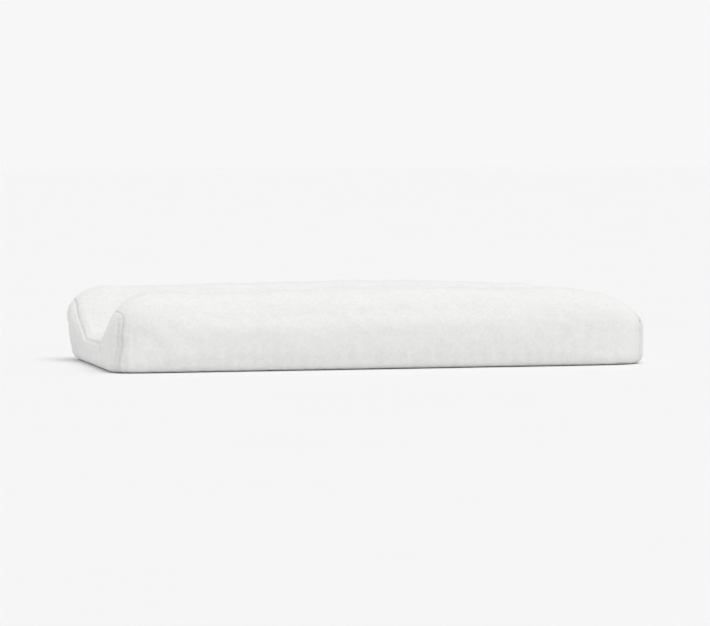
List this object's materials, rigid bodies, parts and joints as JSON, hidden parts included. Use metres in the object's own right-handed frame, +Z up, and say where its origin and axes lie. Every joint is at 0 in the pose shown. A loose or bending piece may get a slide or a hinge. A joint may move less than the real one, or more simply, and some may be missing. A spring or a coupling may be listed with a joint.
{
  "type": "changing pad",
  "caption": "Contoured baby changing pad: foam with a raised bolster along each long side, a wipe-clean liner, a plush fitted cover with an elastic hem, and a buckled safety belt.",
  "frame": {"origin": "middle of the pad's underside, on the surface it lies on", "axes": "+X along the pad's length towards its gently rounded end, +Y across it towards its rear side, +Z up"},
  "size_m": [0.838, 0.406, 0.12],
  "materials": {
    "plush": "matte, brushed pile",
    "vinyl": "satin",
    "grip_fabric": "matte, with raised grip dots",
    "firm_foam": "matte, open cell",
    "soft_foam": "matte, open cell",
    "elastic": "matte",
    "binding_tape": "matte",
    "webbing": "matte, woven",
    "buckle_plastic": "satin",
    "nickel": "satin",
    "brass_grommet": "satin",
    "label": "satin"
  },
  "bodies": {
    "pad": {"foam_base": "firm_foam", "foam_bolster_front": "soft_foam", "foam_bolster_rear": "soft_foam", "liner_top_panel": "vinyl", "liner_side_front": "vinyl", "liner_side_rear": "vinyl", "liner_end_left": "vinyl", "liner_end_right": "vinyl", "liner_bottom_panel": "grip_fabric", "vent_eyelet_left_front": "nickel", "vent_eyelet_left_rear": "nickel", "vent_eyelet_right_front": "nickel", "vent_eyelet_right_rear": "nickel", "cover_main_panel": "plush", "cover_end_panel_left": "plush", "cover_end_panel_right": "plush", "cover_hem_casing": "plush", "cover_hem_elastic": "elastic", "cover_slit_binding_front": "binding_tape", "cover_slit_binding_rear": "binding_tape", "belt_root_front": "webbing", "belt_root_rear": "webbing", "anchor_tab_left": "webbing", "anchor_tab_right": "webbing", "anchor_grommet_left": "brass_grommet", "anchor_grommet_right": "brass_grommet", "care_label": "label"},
    "belt_front": {"belt_webbing_front": "webbing", "buckle_plug": "buckle_plastic"},
    "belt_rear": {"belt_webbing_rear": "webbing", "buckle_socket": "buckle_plastic"},
    "strap_keeper": {"strap_keeper": "buckle_plastic"},
    "prong_left": {"buckle_prong_left": "buckle_plastic"},
    "prong_right": {"buckle_prong_right": "buckle_plastic"}
  },
  "joints": [
    {"name": "belt_front_swing", "type": "hinge", "parent": "pad", "child": "belt_front", "pos_m": [0, -0.07714, 0.06516], "axis": [0.9659, 0.2588, 0], "range_deg": [0, 110]},
    {"name": "belt_rear_swing", "type": "hinge", "parent": "pad", "child": "belt_rear", "pos_m": [0, 0.07714, 0.06516], "axis": [-0.9659, -0.2588, 0], "range_deg": [0, 110]},
    {"name": "keeper_slide", "type": "slide", "parent": "belt_front", "child": "strap_keeper", "axis": [-0.2588, 0.9659, 0], "range_m": [-0.008, 0.008]},
    {"name": "prong_left_flex", "type": "hinge", "parent": "belt_front", "child": "prong_left", "pos_m": [-0.03764, 0.01889, 0.0496], "axis": [0, 0, -1], "range_deg": [0, 6], "stiffness_Nm_per_rad": 0.05},
    {"name": "prong_right_flex", "type": "hinge", "parent": "belt_front", "child": "prong_right", "pos_m": [-0.01542, 0.02484, 0.0496], "axis": [0, 0, 1], "range_deg": [0, 6], "stiffness_Nm_per_rad": 0.05}
  ],
  "couplings": [
    {"joint": "prong_right_flex", "follows": "prong_left_flex", "ratio": 1}
  ]
}
